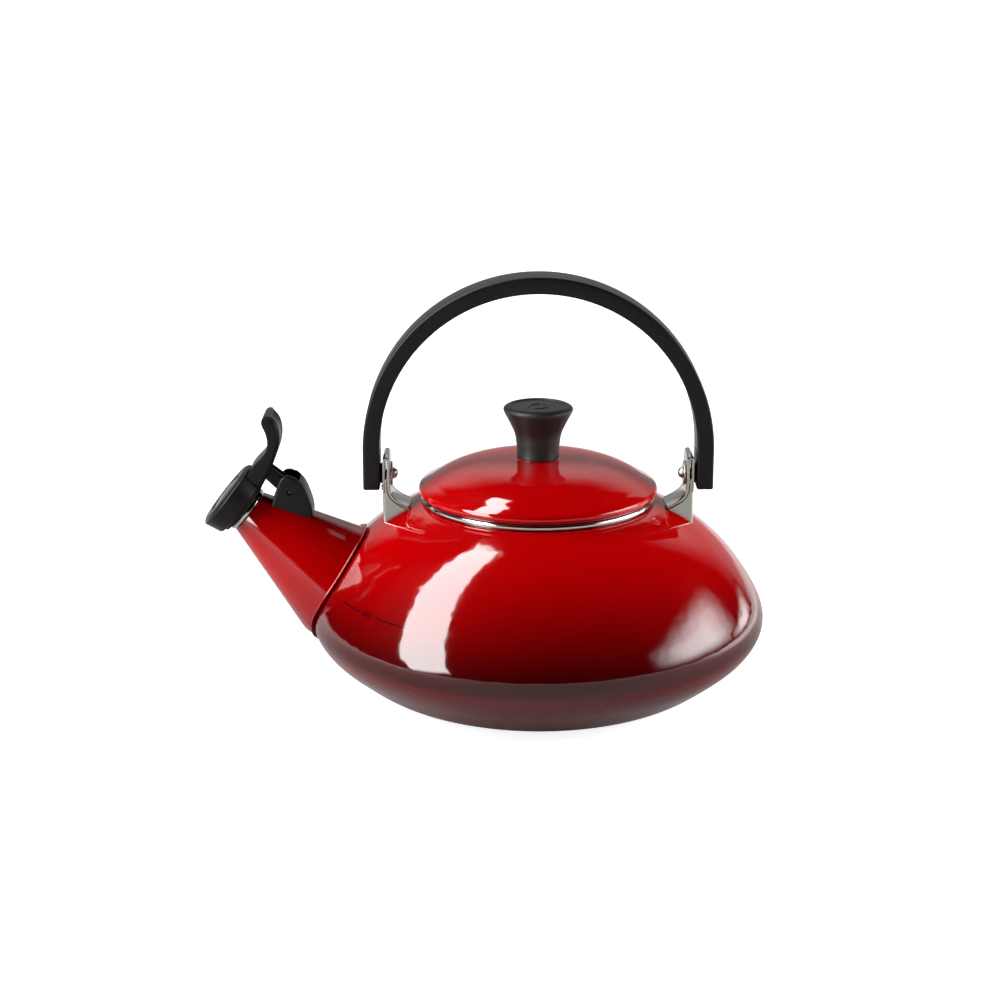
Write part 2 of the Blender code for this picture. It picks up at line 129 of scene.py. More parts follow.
def pick(piece, kind, test):
    """In edit mode, select the vertices, edges or faces that pass a test."""
    bpy.ops.mesh.select_mode(type=kind)
    bpy.ops.mesh.select_all(action="DESELECT")
    mesh = bmesh.from_edit_mesh(piece.data)
    for part in {"VERT": mesh.verts, "EDGE": mesh.edges, "FACE": mesh.faces}[kind]:
        if test(part):
            part.select_set(True)
    bmesh.update_edit_mesh(piece.data)


def apply(piece, kind, name, **settings):
    """Add a modifier, give it its settings and apply it."""
    choose(piece)
    step = piece.modifiers.new(name, kind)
    for setting, value in settings.items():
        setattr(step, setting, value)
    bpy.ops.object.modifier_apply(modifier=step.name)


def settle():
    """Put the active piece's place, turn and scale in to its mesh."""
    bpy.ops.object.transform_apply(location=True, rotation=True, scale=True)


def place(piece, where):
    """Stand a piece in a frame and put that place in to its mesh."""
    choose(piece)
    piece.matrix_world = where
    settle()


# %% Outline helpers
def rounded(corners, steps=5, closed=False):
    """Corner points (a, b) or (a, b, reach): a corner with a reach becomes a curve that long."""
    line = []
    count = len(corners)
    for i, (a, b, *round_by) in enumerate(corners):
        if not round_by or (not closed and i in (0, count - 1)):
            line.append((a, b))
            continue
        here = Vector((a, b))
        before = Vector(corners[i - 1][:2]) - here
        after = Vector(corners[(i + 1) % count][:2]) - here
        start = here + before.normalized() * min(round_by[0], before.length * 0.49)
        end = here + after.normalized() * min(round_by[0], after.length * 0.49)
        for k in range(steps + 1):
            t = k / steps
            line.append(tuple(start * (1 - t) ** 2 + here * 2 * t * (1 - t) + end * t ** 2))
    return line


def arc(centre, radius, start, end, count):
    """Points on a circle from one angle to another, in degrees."""
    turns = [math.radians(start + (end - start) * i / (count - 1)) for i in range(count)]
    return [(centre[0] + radius * math.cos(a), centre[1] + radius * math.sin(a)) for a in turns]


def second_differences(values, lengths):
    """The bending of a natural cubic spline at each of its points, solved from end to end."""
    count = len(values)
    slopes = [(values[i + 1] - values[i]) / lengths[i] for i in range(count - 1)]
    upper, right = [0.0], [0.0]
    for i in range(1, count - 1):
        pivot = 2 * (lengths[i - 1] + lengths[i]) - lengths[i - 1] * upper[-1]
        upper.append(lengths[i] / pivot)
        right.append((6 * (slopes[i] - slopes[i - 1]) - lengths[i - 1] * right[-1]) / pivot)
    bending = [0.0] * count
    for i in range(count - 2, 0, -1):
        bending[i] = right[i] - upper[i] * bending[i + 1]
    return bending


def flowing(points, steps=6):
    """A spline through the points with no sudden change of curvature, so that gloss runs cleanly."""
    lengths = [math.dist(p, q) for p, q in zip(points, points[1:])]
    axes = [[p[k] for p in points] for k in (0, 1)]
    bends = [second_differences(values, lengths) for values in axes]
    line = []
    for i, length in enumerate(lengths):
        for k in range(steps):
            b = k / steps
            a = 1 - b
            line.append(tuple(
                a * v[i] + b * v[i + 1]
                + ((a ** 3 - a) * m[i] + (b ** 3 - b) * m[i + 1]) * length ** 2 / 6
                for v, m in zip(axes, bends)))
    return line + [tuple(points[-1])]


def beside(line, distance):
    """A line moved sideways, to the right of its own direction."""
    moved = []
    for i, point in enumerate(line):
        run = Vector(line[min(i + 1, len(line) - 1)]) - Vector(line[max(i - 1, 0)])
        run.normalize()
        moved.append((point[0] + run.y * distance, point[1] - run.x * distance))
    return moved


# %% [markdown]
# A turned piece is a profile spun about an axis, and a plate is an outline filled and extruded.
# Both start from one vertex: a small plane merged to its centre. Spinning joins the last step to
# the first, so doubles are merged and the faces are turned outwards afterwards.

# %% Draw, turn and extrude
def extrude(step):
    """Extrude what is selected by a step in metres."""
    bpy.ops.mesh.extrude_region_move(TRANSFORM_OT_translate={"value": step})


def draw(name, outline, closed=False, across=0.0):
    """Draw an outline (x, z) in mm at a given y, vertex by vertex, and stay in edit mode."""
    deselect()
    first = Vector((outline[0][0], across, outline[0][1])) * MM
    bpy.ops.mesh.primitive_plane_add(size=MM, location=first)
    piece = bpy.context.object
    piece.name = name
    settle()
    bpy.ops.object.mode_set(mode="EDIT")
    bpy.ops.mesh.select_mode(type="VERT")
    bpy.ops.mesh.select_all(action="SELECT")
    bpy.ops.mesh.merge(type="CENTER")
    for here, there in zip(outline, outline[1:]):
        step = ((there[0] - here[0]) * MM, 0, (there[1] - here[1]) * MM)
        extrude(step)
    if closed:
        mesh = bmesh.from_edit_mesh(piece.data)
        mesh.verts.ensure_lookup_table()
        mesh.verts[0].select_set(True)
        bmesh.update_edit_mesh(piece.data)
        bpy.ops.mesh.edge_face_add()
    return piece


def close_up():
    """Merge doubles, turn the faces outwards and leave edit mode."""
    bpy.ops.mesh.select_all(action="SELECT")
    bpy.ops.mesh.remove_doubles(threshold=0.000002)
    bpy.ops.mesh.normals_make_consistent(inside=False)
    bpy.ops.object.mode_set(mode="OBJECT")


def turned(name, outline, closed=False, sides=96, where=None):
    """A piece turned about the Z axis from an outline (radius, height)."""
    piece = draw(name, outline, closed)
    bpy.ops.mesh.select_all(action="SELECT")
    bpy.ops.mesh.spin(steps=sides, angle=math.tau, center=(0, 0, 0), axis=(0, 0, 1))
    close_up()
    if where:
        place(piece, where)
    return piece


def hoop(name, corners, steps, sides, where=None):
    """A closed ring turned from corner points, each rounded by its own reach."""
    return turned(name, rounded(corners, steps, closed=True), closed=True, sides=sides, where=where)


def plate(name, outline, half_depth, centre=(0, 0)):
    """A flat plate with its thickness along Y, from an outline about a centre."""
    moved = [(x + centre[0], z + centre[1]) for x, z in outline]
    piece = draw(name, moved, closed=True, across=-half_depth)
    bpy.ops.mesh.select_all(action="SELECT")
    bpy.ops.mesh.edge_face_add()
    extrude((0, 2 * half_depth * MM, 0))
    close_up()
    return piece


def rod(name, radius, start, end, sides=32):
    """A round bar between two points, used to drill holes and to add shanks."""
    deselect()
    start, end = Vector(start) * MM, Vector(end) * MM
    run = end - start
    bpy.ops.mesh.primitive_cylinder_add(vertices=sides, radius=radius * MM, depth=run.length)
    piece = bpy.context.object
    piece.name = name
    lean = run.to_track_quat("Z", "Y").to_matrix().to_4x4()
    place(piece, Matrix.Translation((start + end) / 2) @ lean)
    return piece


# %% Cutting, joining and finishing
def combine(piece, tool, operation="DIFFERENCE"):
    """Cut one closed shape from another, or join them, and throw the tool away."""
    apply(piece, "BOOLEAN", operation.lower(), operation=operation, object=tool, solver="EXACT")
    bpy.data.objects.remove(tool, do_unlink=True)


def soften(piece, width, segments=3, angle=40):
    """Round the sharp edges of a piece by a width in mm."""
    apply(piece, "BEVEL", "rounded edges", width=width * MM, segments=segments, limit_method="ANGLE",
          angle_limit=math.radians(angle), harden_normals=False, use_clamp_overlap=True)


def shade(piece, angle=35):
    """Smooth shading, with edges sharper than the angle left crisp."""
    choose(piece)
    bpy.ops.object.shade_smooth_by_angle(angle=math.radians(angle))


def fit(piece, body, slot, finish, *nodes, angle=35):
    """Shade a finished piece, give it its finish and let it ride and stand in for the frame's nodes."""
    shade(piece, angle)
    piece.data.materials.clear()
    piece.data.materials.append(finish)
    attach(piece, body)
    if nodes:
        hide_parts(*nodes)
    size = [round(value / MM, 1) for value in piece.dimensions]
    print(f"{piece.name}: {size} mm, {len(piece.data.polygons)} faces")


def at_spout(out, along):
    """A point in mm given by its distance out from the spout's axis and along it."""
    rise = Vector((math.sin(SPOUT_TILT), 0, math.cos(SPOUT_TILT)))
    return SPOUT_TIP + SPOUT_AXIS * along + rise * out


# %% [markdown]
# ## Shader maths as plain expressions
#
# A finish that varies over a surface is worked out from its position. Written as nodes, the sums
# are long and hard to read. So one small class wraps a number of the shader, and + - * / on it add
# the Math nodes. A second class holds a material and adds every other node through one method.

# %% Amounts and finishes
class Amount:
    """A number that varies over a surface. Arithmetic on it adds Math nodes."""

    def __init__(self, finish, socket):
        self.finish = finish
        self.socket = socket

    def maths(self, operation, *values):
        made = self.finish.node("ShaderNodeMath", {"operation": operation}, dict(enumerate(values)))
        return Amount(self.finish, made.outputs[0])

    def __add__(self, other):
        return self.maths("ADD", self, other)

    def __sub__(self, other):
        return self.maths("SUBTRACT", self, other)

    def __rsub__(self, other):
        return self.maths("SUBTRACT", other, self)

    def __mul__(self, other):
        return self.maths("MULTIPLY", self, other)

    def __truediv__(self, other):
        return self.maths("DIVIDE", self, other)

    def __lt__(self, other):
        return self.maths("LESS_THAN", self, other)

    def __abs__(self):
        return self.maths("ABSOLUTE", self)

    __radd__ = __add__
    __rmul__ = __mul__

    def rise(self, low, high):
        """0 below low, 1 above high and a soft step between."""
        made = self.finish.node("ShaderNodeMapRange", {"interpolation_type": "SMOOTHSTEP"},
                                {"Value": self, "From Min": low, "From Max": high})
        return Amount(self.finish, made.outputs[0])


class Finish:
    """A material built round one Principled shader."""

    def __init__(self, name, **constants):
        self.material = bpy.data.materials.new(name)
        self.material.use_nodes = True
        self.tree = self.material.node_tree
        self.shader = self.tree.nodes["Principled BSDF"]
        self.place = self.node("ShaderNodeTexCoord", {}, {}).outputs["Object"]
        for socket, value in constants.items():
            self.give(self.shader, socket.replace("_", " "), value)

    def give(self, node, socket, value):
        """Set a socket, or link it if the value comes from another node."""
        if isinstance(value, Amount):
            value = value.socket
        if isinstance(value, bpy.types.NodeSocket):
            self.tree.links.new(value, node.inputs[socket])
        else:
            node.inputs[socket].default_value = value

    def node(self, kind, settings, sockets):
        """Add any node: its settings first, then the values or links of its sockets."""
        made = self.tree.nodes.new(kind)
        for name, value in settings.items():
            setattr(made, name, value)
        for socket, value in sockets.items():
            self.give(made, socket, value)
        return made

    def axes(self):
        """The three coordinates of the surface as amounts."""
        split = self.node("ShaderNodeSeparateXYZ", {}, {0: self.place})
        return [Amount(self, output) for output in split.outputs]

    def stretched(self, scale):
        """The piece's own coordinates, stretched along each axis."""
        return self.node("ShaderNodeMapping", {}, {"Vector": self.place, "Scale": scale}).outputs[0]

    def noise(self, scale, detail=2.0, where=None):
        sockets = {"Vector": where or self.place, "Scale": scale, "Detail": detail}
        return Amount(self, self.node("ShaderNodeTexNoise", {}, sockets).outputs["Fac"])

    def mix(self, share, first, second):
        """Blend two colours."""
        made = self.node("ShaderNodeMix", {"data_type": "RGBA"}, {0: share, 6: first, 7: second})
        return made.outputs[2]

    def bump(self, height, strength, depth):
        """Bend the shading normal by a height; depth is in mm."""
        sockets = {"Height": height, "Strength": strength, "Distance": depth * MM}
        return self.node("ShaderNodeBump", {}, sockets).outputs[0]

    def set(self, **sockets):
        for socket, value in sockets.items():
            self.give(self.shader, socket.replace("_", " "), value)
        return self.material


# %% [markdown]
# ## Red enamel
#
# The real coat is glass fused on steel. It is brighter at the shoulder and darkens to a deep brown
# red towards the belt. Below the belt it turns a lighter, browner red again: that is painted light
# and a painted reflection of the pale floor under it. The colour could be a painted image, but a soft
# step on the height gives the same fade on body, spout and lid with no seam. Fine noise breaks up the
# colour and gives the slight waviness of fired glass.

# %% Enamel
BRIGHT_RED = (0.335, 0.0002, 0.0007, 1)
DEEP_RED = (0.030, 0.0004, 0.0007, 1)
# The red below the belt, lighter and browner than the deep red: painted light and reflection from the
# floor.
PAINTED_FLOOR_LIGHT_RED = (0.095, 0.0016, 0.0022, 1)
SPECK_RED = (0.24, 0.0002, 0.0006, 1)
MARK_RED = (0.035, 0.001, 0.002, 1)
FULL_HEIGHT = 0.0512  # of the filling line, in metres
LINE_ENDS = ((0.445, 0.452), (0.926, 0.934))  # soft ends, in radians round from the spout
LINE_GAP = ((0.616, 0.622), (0.722, 0.728))
LINE_TICK = ((0.628, 0.632), (0.700, 0.706))
THIN, THICK = 0.00030, 0.00085  # half widths of the line and of its tick


def enamel(name, low=0.030, high=0.086, mark=False):
    """Red enamel that fades with height. The body also carries a fine filling line."""
    coat = Finish(name, IOR=1.5)
    x, y, z = coat.axes()
    cloud = coat.noise(55, 3)
    fade = (z + cloud * 0.004).rise(low, high)
    # Below the belt the red turns lighter and browner: painted light and a painted reflection of the pale
    # floor.
    lower_red_and_painted_floor_light = coat.mix(z.rise(0.026, 0.032), PAINTED_FLOOR_LIGHT_RED, DEEP_RED)
    red = coat.mix(fade, lower_red_and_painted_floor_light, BRIGHT_RED)
    speck = coat.noise(2600, 1).rise(0.70, 0.80) * 0.35
    red = coat.mix(speck * fade, red, SPECK_RED)
    if mark:
        red = coat.mix(filling_line(x, y, z), red, MARK_RED)
    peel = coat.noise(125, 1)
    return coat.set(Base_Color=red, Roughness=0.045 + coat.noise(420, 2) * 0.035,
                    Normal=coat.bump(peel, 1.0, 0.11))


def between(amount, start, end):
    """1 between two soft ends and 0 outside them."""
    return amount.rise(*start) * (1 - amount.rise(*end))


def filling_line(x, y, z):
    """A printed line round part of the body, at the height of a full kettle, with a thick tick."""
    angle = y.maths("ARCTAN2", 0 - y, 0 - x)
    height = abs(z - FULL_HEIGHT)
    thin = (height < THIN) * between(angle, *LINE_ENDS) * (1 - between(angle, *LINE_GAP))
    thick = (height < THICK) * between(angle, *LINE_TICK)
    return (thin + thick * 0.8) * 0.9


red_body = enamel("red enamel body", mark=True)
red_spout = enamel("red enamel spout", low=0.0, high=0.066)
red_lid = enamel("red enamel lid")

# %% [markdown]
# The inside is coated too, in the dark ground enamel that every such kettle gets before its
# colour. It shows when the lid is lifted, speckled with grey.

# %% Ground enamel
GROUND_BLACK = (0.012, 0.012, 0.014, 1)
FLECK_GREY = (0.16, 0.16, 0.17, 1)
ground = Finish("dark ground enamel")
fleck = ground.noise(1500, 2).rise(0.62, 0.70)
ground_coat = ground.set(Base_Color=ground.mix(fleck * 0.6, GROUND_BLACK, FLECK_GREY),
                         Roughness=0.16 + ground.noise(300, 2) * 0.1,
                         Normal=ground.bump(ground.noise(240, 2), 0.08, 0.06))

# %% [markdown]
# ## Steel, black mouldings, rubber and brass
#
# The steel differs only in how it was finished: rings are polished, brackets are brushed, screws
# are tumbled. A brushed face is noise stretched along the brushing. The black parts are moulded:
# the handle and knob have the fine grain of phenolic resin, and the whistle is a little glossier.

# %% Metals
def scaled(tint, share):
    """A colour made darker or lighter by a share."""
    return (*[part * share for part in tint], 1)


def steel(name, tint, rough, grain, scratch=0.1):
    """Steel with scratches drawn out along one axis: grain is the scale along x, y and z."""
    metal = Finish(name, Metallic=1.0)
    lines = metal.noise(1, 3, metal.stretched(grain))
    tone = metal.mix(metal.noise(90, 2) * 0.5 + lines * 0.3, scaled(tint, 0.86), scaled(tint, 1))
    return metal.set(Base_Color=tone, Roughness=rough + lines * scratch,
                     Normal=metal.bump(lines, 0.25, 0.02))


polished_steel = steel("polished steel", (0.56, 0.55, 0.535), 0.09, (260, 260, 2600), 0.08)
brushed_steel = steel("brushed steel", (0.46, 0.44, 0.40), 0.08, (2400, 240, 240), 0.09)
tumbled_steel = steel("tumbled steel", (0.50, 0.48, 0.455), 0.24, (900, 900, 900), 0.16)
# Blackened steel for the spring and the lug; on the hinge pin its dark tint is painted shade of the pin's
# deep hole.
dark_steel = steel("blackened steel and painted pin shade", (0.07, 0.068, 0.066), 0.30, (900, 900, 900), 0.12)
whistle_metal = steel("whistle plate steel", (0.105, 0.102, 0.10), 0.22, (500, 500, 500), 0.12)
brass = steel("brass", (0.72, 0.52, 0.24), 0.22, (700, 700, 700), 0.12)


# %% Moulded black and rubber
def moulded(name, tint, rough, grain, depth, shine=0.2):
    """A black moulding with a fine grain and a slightly uneven sheen."""
    resin = Finish(name, IOR=1.5, Specular_IOR_Level=shine)
    fine = resin.noise(grain, 3)
    cloud = resin.noise(70, 3)
    tone = resin.mix(cloud * 0.6 + fine * 0.4, scaled(tint, 0.7), scaled(tint, 1.5))
    return resin.set(Base_Color=tone, Roughness=rough + cloud * 0.10 + fine * 0.06,
                     Normal=resin.bump(fine, 0.35, depth))


phenolic = moulded("black phenolic", (0.0050, 0.0044, 0.0046), 0.27, 1500, 0.05)
knob_resin = moulded("black knob resin", (0.0060, 0.0050, 0.0052), 0.40, 1300, 0.07, 0.42)
moulding = moulded("black moulding", (0.0055, 0.0050, 0.0051), 0.30, 1900, 0.035)
rubber = moulded("black silicone", (0.0080, 0.0076, 0.0076), 0.50, 1200, 0.03)
nylon = moulded("black nylon", (0.006, 0.006, 0.006), 0.42, 1200, 0.03)

# %% [markdown]
# ## The body
#
# A pressed steel shell: flat base, soft belt low down, domed shoulder and a lip that curls in to
# the opening. It is round, so its wall is drawn once as a closed outline, outer side up and inner
# side down, and spun. The outer side is a spline, because a gloss coat shows every kink.

# %% Body shell
MOUTH_RADIUS = 54.0
BASE_RADIUS = 66.0
BELT_HEIGHT = 31.5
WALL = 1.6
SPOUT_WAY = 19.0  # radius of the hole that opens the body to the spout


def body_line(steps=6):
    """Outer side of the body, from the lip's edge down to the base."""
    shoulder = [(MOUTH_RADIUS, MOUTH_TOP - 0.2), (69.7, 77.3), (85.4, 64.5), (97.6, 48.3)]
    underside = [(99.0, 22.0), (88.5, 12.3), (77.6, 4.6), (BASE_RADIUS, 0.0)]
    return flowing(shoulder + [(BELT_RADIUS, BELT_HEIGHT)] + underside, steps)


def body_solid(name, growth):
    """The whole outside of the body as one solid, grown or shrunk, to trim its neighbours."""
    line = beside(body_line(4), -growth)
    return turned(name, [(0, MOUTH_TOP + growth)] + line + [(0, -growth)], sides=144)


outside = body_line()
inside = beside(body_line(3), WALL)[1:-2]
lip = rounded([outside[0], (MOUTH_RADIUS - 1.0, MOUTH_TOP, 0.8), (MOUTH_RADIUS - 3.0, MOUTH_TOP, 0.9),
               (MOUTH_RADIUS - 3.1, MOUTH_TOP - 1.6, 0.6), inside[0]], 4)[1:-1]
shell_line = [(0, 0)] + [(BASE_RADIUS - 2.0, 0)] + outside[::-1][1:] + lip + inside
shell_line += rounded([inside[-1], (BASE_RADIUS - 1.5, WALL, 3.0), (0, WALL)], 4)[1:]
body = turned("enamel_body", shell_line, sides=192)
combine(body, rod("spout way", SPOUT_WAY, at_spout(0, -30), at_spout(0, -76), sides=96))
fit(body, "kettle", "red_enamel", red_body, "body_shell")

# %% [markdown]
# The inner wall gets the dark ground coat. Its faces are found by where they look: the wall's look
# towards the axis, and the floor's look up.

# %% Dark inside
def inner_face(face):
    """True for a face of the shell that looks in to the kettle."""
    middle = face.calc_center_median() / MM
    spread = Vector((middle.x, middle.y, 0))
    facing = face.normal.dot(spread.normalized()) if spread.length > 1 else 0
    floor = middle.z < WALL + 1 and face.normal.z > 0.5
    return middle.z < MOUTH_TOP - 2.0 and (facing < -0.05 or floor)


body.data.materials.append(ground_coat)
enter(body)
pick(body, "FACE", inner_face)
body.active_material_index = 1
bpy.ops.object.material_slot_assign()
deselect()
print("inner faces:", sum(face.material_index for face in body.data.polygons))

# %% [markdown]
# ## The spout
#
# A drawn cone with a rounded heel, welded on and enamelled together with the body. It is turned
# upright, set down on its leaning axis, and trimmed by a slightly shrunk copy of the body, so its
# end stops inside the body's wall and never shows inside.

# %% Spout
SPOUT_TIP_RADIUS = 10.4
SPOUT_FLARE = 17.8
SPOUT_CONE = 52.0
SPOUT_HEEL = 12.0
SPOUT_WALL = 1.5
SPOUT_LIP = 0.8
BODY_TRIM = -0.8  # the spout ends this far inside the body's outer face


def spout_line(count=14):
    """Outer side of the spout as (radius, distance along its axis), from the tip down."""
    flare = math.radians(SPOUT_FLARE)
    end = SPOUT_TIP_RADIUS + SPOUT_CONE * math.tan(flare)
    centre = (end - SPOUT_HEEL * math.cos(flare), -SPOUT_CONE - SPOUT_HEEL * math.sin(flare))
    cone = [(SPOUT_TIP_RADIUS + (end - SPOUT_TIP_RADIUS) * k / 6,
             -SPOUT_LIP - (SPOUT_CONE - SPOUT_LIP) * k / 6) for k in range(6)]
    return cone + arc(centre, SPOUT_HEEL, SPOUT_FLARE, -60, count)


def spout_solid(name, growth):
    """The outside of the spout as one solid, grown by a clearance in mm."""
    line = beside(spout_line(), -growth)
    return turned(name, [(0, growth)] + line + [(0, line[-1][1])], sides=96, where=SPOUT_FRAME)


outer = spout_line()
inner = beside(outer, SPOUT_WALL)
edge = rounded([outer[1], (*outer[0], 0.5), (*inner[0], 0.5), inner[1]], 3)[1:-1]
spout_wall = edge + inner[1:] + outer[:0:-1]
spout = turned("enamel_spout", spout_wall, closed=True, sides=128, where=SPOUT_FRAME)
combine(spout, body_solid("trim", BODY_TRIM))
fit(spout, "kettle", "red_enamel", red_spout, "spout")

# %% [markdown]
# Enamel flows in to the corner where spout and body meet and leaves a small round fillet. A ball
# rolling in that corner touches both surfaces, and the fillet is the surface under the ball. So
# for each direction round the spout the ball's centre is found first, by halving, where it is one
# radius from both. A torus is then laid along those centres, its rings moved on to the corner.

# %% Fillet of enamel
BALL = 2.4
SUNK = 1.1  # how far the hidden back of the fillet sinks in to the two walls
RINGS = 120
ARC_STEPS = 8


def nearest(line, point):
    """The nearest point on a line of points, and the distance to it."""
    best = None
    for a, b in zip(line, line[1:]):
        run = Vector(b) - Vector(a)
        share = max(0.0, min(1.0, (point - Vector(a)).dot(run) / run.length_squared))
        spot = Vector(a) + run * share
        gap = (point - spot).length
        if best is None or gap < best[1]:
            best = (spot, gap)
    return best


def on_body(point):
    """The nearest point of the body's outside to a point in mm, and the gap, negative inside."""
    flat = Vector((math.hypot(point.x, point.y), point.z))
    spot, gap = nearest(outside, flat)
    away = flat - spot
    inside_it = (flat.y < spot.y) == (spot.y > BELT_HEIGHT)
    if abs(away.x) > abs(away.y):
        inside_it = flat.x < spot.x
    round_z = Vector((point.x, point.y, 0)).normalized()
    return round_z * spot.x + Vector((0, 0, spot.y)), -gap if inside_it else gap


def rolling_ball(turn):
    """The ball's centre and its two touching points, for one direction round the spout."""
    frame_mm = Matrix.Translation(SPOUT_TIP) @ SPOUT_FRAME.to_3x3().to_4x4()
    spin = Matrix.Rotation(turn, 3, "Z")
    cone = spout_line(40)
    track, touching = ([frame_mm @ (spin @ Vector((radius, 0, along))) for radius, along in line]
                       for line in (beside(cone, -BALL), cone))
    for i in range(1, len(track)):
        if on_body(track[i])[1] < BALL:
            break
    low, high = 0.0, 1.0
    for _ in range(30):
        share = (low + high) / 2
        centre = track[i - 1].lerp(track[i], share)
        if on_body(centre)[1] < BALL:
            high = share
        else:
            low = share
    return centre, on_body(centre)[0], touching[i - 1].lerp(touching[i], share)


deselect()
bpy.ops.mesh.primitive_torus_add(major_segments=RINGS, minor_segments=ARC_STEPS + 2,
                                 major_radius=0.02, minor_radius=0.003)
fillet = bpy.context.object
fillet.name = "enamel_fillet"
for ring in range(RINGS):
    centre, foot, rim = rolling_ball(math.tau * ring / RINGS)
    first, last = foot - centre, rim - centre
    ring_points = [centre + first.slerp(last, k / ARC_STEPS) for k in range(ARC_STEPS + 1)]
    hidden = (foot + rim) / 2 + (first + last).normalized() * SUNK
    for k, point in enumerate(ring_points + [hidden]):
        fillet.data.vertices[ring * (ARC_STEPS + 2) + k].co = point * MM
enter(fillet)
close_up()
fit(fillet, "kettle", "red_enamel", red_spout, angle=70)

# %% [markdown]
# ## Lid
#
# A shallow pressed dome with a rolled edge and a small raised seat for the knob. The dome is fuller
# than a parabola: its height falls with a high power of the radius, so it stays flat in the middle
# and turns down quickly near the edge.

# %% Lid shell
LID_EDGE_HEIGHT = 91.6
LID_RISE = 13.7
LID_FULLNESS = 3.6
SEAT_RADIUS = 9.3
KNOB_BORE = 2.8
SKIN = 1.2
ROLL = 2.35  # radius of the rolled edge


def lid_height(radius):
    """Height of the lid's outer face at a radius."""
    return LID_EDGE_HEIGHT + LID_RISE * (1 - (radius / LID_EDGE) ** LID_FULLNESS)


dome = [(radius, lid_height(radius)) for radius in [11.2 + 38.0 * k / 22 for k in range(23)]]
under = [(radius, lid_height(radius) - SKIN) for radius in [48.4 - 37.4 * k / 14 for k in range(15)]]
seat = rounded([(KNOB_BORE, LID_TOP), (SEAT_RADIUS, LID_TOP, 0.7),
                (SEAT_RADIUS + 0.2, lid_height(SEAT_RADIUS + 0.2), 0.7), dome[0]], 4)
roll = arc((LID_EDGE - ROLL, LID_EDGE_HEIGHT + 0.1), ROLL, 50, -90, 14)
hem = [(LID_EDGE - 3.1, LID_EDGE_HEIGHT - 2.0), (LID_EDGE - 3.6, LID_EDGE_HEIGHT - 1.1)]
back = rounded([under[-1], (SEAT_RADIUS - 1.2, LID_TOP - 2.6, 0.4), (SEAT_RADIUS - 1.2, LID_TOP - SKIN),
                (KNOB_BORE, LID_TOP - SKIN)], 3)[1:]
lid = turned("enamel_lid", seat[:-1] + dome + roll + hem + under + back, closed=True, sides=160)
fit(lid, "lid", "red_enamel", red_lid, "lid_shell")

# %% [markdown]
# ## Rings of polished steel
#
# One ring is crimped round the opening and its skirt hangs inside. A second one centres the lid,
# and a third lines the spout's mouth. They are closed outlines too, with rounded corners so that
# each edge catches a thin line of light.

# %% Rings
ring_in = reach("body_rim_ring", 1, 0) - 3.3
ring_top = reach("body_rim_ring", 1, 2)
mouth_ring = hoop("mouth_ring", [
    (ring_in, ring_top, 0.4), (ring_in + 3.3, ring_top, 1.4), (ring_in + 3.3, ring_top - 2.8, 1.2),
    (ring_in + 0.9, ring_top - 2.8), (ring_in + 0.9, ring_top - 7.2, 0.3),
    (ring_in, ring_top - 7.2, 0.3)], 5, 160)
fit(mouth_ring, "kettle", "stainless_rim", polished_steel, "body_rim_ring")

collar_out = reach("lid_collar", 1, 0)
collar_low = reach("lid_collar", 0, 2)
collar_top = reach("lid_collar", 1, 2)
collar = hoop("lid_skirt", [
    (collar_out - 1.3, collar_top, 0.3), (collar_out, collar_top, 0.3),
    (collar_out - 0.3, collar_top - 1.4, 0.4), (collar_out - 0.3, collar_low, 0.5),
    (collar_out - 1.3, collar_low, 0.5)], 4, 160)
fit(collar, "lid", "stainless_rim", polished_steel, "lid_collar")

MOUTH_RING = 11.0
spout_ring = hoop("spout_ring", [
    (MOUTH_RING - 3.3, 1.2, 0.4), (MOUTH_RING, 1.2, 0.6), (MOUTH_RING, -0.5, 0.4),
    (MOUTH_RING - 2.5, -0.5), (MOUTH_RING - 2.5, -5.0, 0.3), (MOUTH_RING - 3.3, -5.0, 0.3)],
    4, 96, SPOUT_FRAME)
fit(spout_ring, "kettle", "stainless_rim", polished_steel, "spout_rim_ring")

# %% [markdown]
# ## Knob
#
# A turned knob that flares from a narrow foot to a wide brim. The top is a shallow dish inside a
# rounded rim, with a plain raised ring in the middle. It is hollow from below for its threaded
# insert.

# %% Knob
def from_top(*points):
    """Outline points with their depth below the knob's top in place of their height."""
    return [(radius, KNOB_TOP - depth, *corner) for radius, depth, *corner in points]


foot = LID_TOP + 0.3
stem = flowing(from_top((15.3, 3.2), (13.6, 6.4), (12.0, 9.6), (10.6, 13.0), (9.9, 17.0), (9.5, 21.0))
               + [(9.5, foot + 0.4)], 5)
dish = rounded(from_top((0, 0.75), (3.4, 0.75), (3.7, 0.35, 0.25), (4.6, 0.35, 0.25), (4.9, 0.75, 0.2),
                        (12.0, 0.75, 0.6), (12.7, 0.1, 0.5), (13.6, 0, 0.7), (15.6, 1.0, 1.2),
                        (15.7, 2.2, 0.8)) + [stem[0]], 4)
skirt = [(9.5, foot + 0.4), (9.65, foot - 0.6), (9.5, foot - 1.0), (9.35, foot - 1.0), (9.35, foot)]
knob_bore = skirt + [(4.4, foot)] + from_top((4.4, 10.4), (0, 10.4))
knob = turned("turned_knob", dish + stem[1:-1] + knob_bore, sides=128)
fit(knob, "lid", "black_phenolic", knob_resin, "lid_knob")

# %% [markdown]
# ## Handle
#
# One moulded arch with straight feet. Its section is a rectangle with rounded corners, so a plane
# is added at one foot, its corners are bevelled, and the face is extruded up, spun over the top by
# half a turn and extruded down again. A curve with a bevel would do too, but a spin keeps the
# section exactly square to the arch.

# %% Handle arch
BAIL_THICKNESS = 7.5
BAIL_CENTRE = BAIL_TOP - BAIL_OUTER
LEG_RINGS = 4
INSERT_RADIUS = 3.3
INSERT_DEPTH = 5.8

